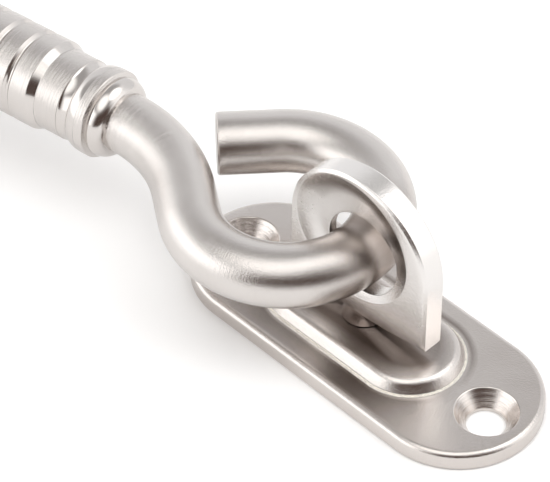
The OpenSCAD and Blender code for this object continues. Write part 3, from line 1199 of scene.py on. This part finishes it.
@dataclass(frozen=True)
class TentPanel:
    """One side of the tent around the object, as the metal mirrors it."""

    side_deg: float
    reach: Point
    height: Point
    colour: Triple
    rise_deg: float = 0.0

    def way(self, yaw_deg: float) -> Triple:
        """Direction of the panel's middle, turned from the camera's side to the picture's right."""
        turn, rise = math.radians(yaw_deg + self.side_deg), math.radians(self.rise_deg)
        return math.sin(turn) * math.cos(rise), -math.cos(turn) * math.cos(rise), math.sin(rise)


TENT = (
    TentPanel(-90.0, (0.15, 0.65), (0.5, 0.68), (1.7, 1.69, 1.68)),  # left reflector
    TentPanel(95.0, (0.35, 0.65), (0.6, 0.8), (1.35, 1.34, 1.33)),  # right paper
    TentPanel(92.0, (0.885, 0.945), (2.0, 3.0), (1.9, 1.89, 1.88), 58.0),  # right reflector
    TentPanel(165.0, (0.1, 0.7), (0.55, 0.85), (0.88, 0.88, 0.89)),  # back paper
    TentPanel(8.0, (0.42, 0.82), (0.45, 0.85), (0.1, 0.07, 0.06)),  # room behind the camera
    TentPanel(-26.0, (0.84, 0.98), (2.0, 3.0), (1.6, 1.58, 1.55), 68.0),  # lamp glow
)


@dataclass
class Studio:
    """Pale floor, soft studio light and the camera at the photograph's angle."""

    yaw_deg: float = 45.98
    pitch_deg: float = 44.09
    distance: float = 0.40244
    target: Triple = (-0.01987, 0.00393, 0.0)
    focal_px: float = 3154.63
    sensor_mm: float = 36.0
    nearest: float = 0.01
    floor_size: float = 4.0
    floor_drop: float = 0.00005
    floor_albedo: float = 0.85
    floor_shown: float = 1.08
    floor_mirrored: float = 0.94
    tent_grey: Triple = (0.45, 0.44, 0.435)
    lamp_place: Triple = (0.03, -0.14, 0.95)
    lamp_aim: Triple = (-0.02, 0.0, 0.0)
    lamp_size: float = 0.65
    lamp_power: float = 1.6

    def camera(self) -> None:
        """Place the camera."""
        yaw, pitch = math.radians(self.yaw_deg), math.radians(self.pitch_deg)
        back = Vector((math.sin(yaw) * math.cos(pitch), -math.cos(yaw) * math.cos(pitch), math.sin(pitch)))
        right = Vector((math.cos(yaw), math.sin(yaw), 0.0))
        up = back.cross(right)
        data = bpy.data.cameras.new("camera")
        data.sensor_fit = "HORIZONTAL"
        data.sensor_width = self.sensor_mm
        data.lens = self.focal_px * self.sensor_mm / PHOTO_WIDTH
        data.clip_start = self.nearest
        made = bpy.data.objects.new("camera", data)
        turn = Matrix((right, up, back)).transposed().to_4x4()
        made.matrix_world = Matrix.Translation(Vector(self.target) + back * self.distance) @ turn
        bpy.context.scene.collection.objects.link(made)
        bpy.context.scene.camera = made

    def floor(self) -> None:
        """Lay the pale floor, which shows and mirrors as white and keeps the object's shadow."""
        mesh = bmesh.new()
        bmesh.ops.create_grid(mesh, x_segments=1, y_segments=1, size=self.floor_size / 2)
        bmesh.ops.translate(mesh, vec=(0, 0, -self.floor_drop), verts=mesh.verts)
        data = bpy.data.meshes.new("floor")
        mesh.to_mesh(data)
        mesh.free()
        made = bpy.data.objects.new("floor", data)
        paper = bpy.data.materials.new("pale floor")
        paper.use_nodes = True
        nodes = paper.node_tree.nodes
        nodes.remove(nodes["Principled BSDF"])
        board = Board(paper.node_tree)
        ray = board.add("LightPath", {}).outputs
        colour = (self.floor_albedo,) * 3
        for source, level in (("Is Glossy Ray", self.floor_mirrored), ("Is Camera Ray", self.floor_shown)):
            colour = board.blend(ray[source], colour, (level,) * 3)
        matt = board.add("BsdfDiffuse", {"Color": colour})
        board.feed(nodes["Material Output"].inputs["Surface"], matt.outputs["BSDF"])
        data.materials.append(paper)
        bpy.context.scene.collection.objects.link(made)

    def softbox(self) -> None:
        """Hang the square lamp overhead. The metal mirrors the tent's glow in its place."""
        data = bpy.data.lights.new("overhead softbox", "AREA")
        data.shape = "SQUARE"
        data.size = self.lamp_size
        data.energy = self.lamp_power
        made = bpy.data.objects.new("overhead softbox", data)
        made.visible_glossy = False
        place = Vector(self.lamp_place)
        turn = (place - Vector(self.lamp_aim)).to_track_quat("Z", "Y").to_matrix().to_4x4()
        made.matrix_world = Matrix.Translation(place) @ turn
        bpy.context.scene.collection.objects.link(made)

    def world(self) -> None:
        """Surround the object with a grey tent with bright sides, a pale back and a dark front."""
        made = bpy.data.worlds.new("studio")
        made.use_nodes = True
        bpy.context.scene.world = made
        board = Board(made.node_tree)
        way = board.add("TexCoord", {}).outputs["Generated"]
        height = board.add("SeparateXYZ", {0: way}).outputs["Z"]
        colour = self.tent_grey
        for panel in TENT:
            sockets = {0: way, 1: panel.way(self.yaw_deg)}
            facing = board.add("VectorMath", sockets, operation="DOT_PRODUCT").outputs["Value"]
            across = board.step(facing, panel.reach, (0.0, 1.0))
            upward = board.step(height, panel.height, (1.0, 0.0))
            colour = board.blend(board.maths("MULTIPLY", across, upward), colour, panel.colour)
        ground = made.node_tree.nodes["Background"]
        board.feed(ground.inputs["Color"], colour)
        board.feed(ground.inputs["Strength"], 1.0)

    def build(self) -> None:
        """Set up the floor, the light and the camera."""
        self.camera()
        self.floor()
        self.world()
        self.softbox()
        bpy.context.scene.view_settings.view_transform = "Standard"


def dress(
    piece: bpy.types.Object, body: str, node: str, finish: NickelFinish, shop: dict[str, bpy.types.Material],
    stands: bool = True,
) -> None:
    """Give a piece its finish and its body.

    Args:
        piece: The new piece.
        body: Body of the frame that carries it.
        node: Solid that it stands for.
        finish: Its finish.
        shop: Materials by finish name.
        stands: True if the piece replaces the solid.
    """
    piece.data.materials.append(shop[finish.name])
    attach(piece, body)
    if stands:
        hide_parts(node)
    LOG.info("%s rides on %s for %s", piece.name, body, node)


def main() -> None:
    """Build the latch, its finishes and the studio."""
    logging.basicConfig(level=logging.INFO, format="%(name)s: %(message)s")
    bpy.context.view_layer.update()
    works = FinishShop()
    shop = {finish.name: works.material(finish) for finish in (BAR_FINISH, EYE_FINISH, PLATE_FINISH)}
    Studio().build()
    dress(HookBar().build(), "hook_bar", "hook_bar", BAR_FINISH, shop)
    for side, turn in (("pivot", 1.5), ("catch", 0.0)):
        eye = SwivelEye(node=side + "_eye", turn_deg=turn)
        dress(eye.build(), eye.node, eye.node, EYE_FINISH, shop)
        dress(eye.build_stem(), eye.node, eye.node, EYE_FINISH, shop, stands=False)
        plate = ScrewPlate(node=side + "_plate")
        dress(plate.build(), "plates", plate.node, PLATE_FINISH, shop)


if __name__ == "__main__":
    main()
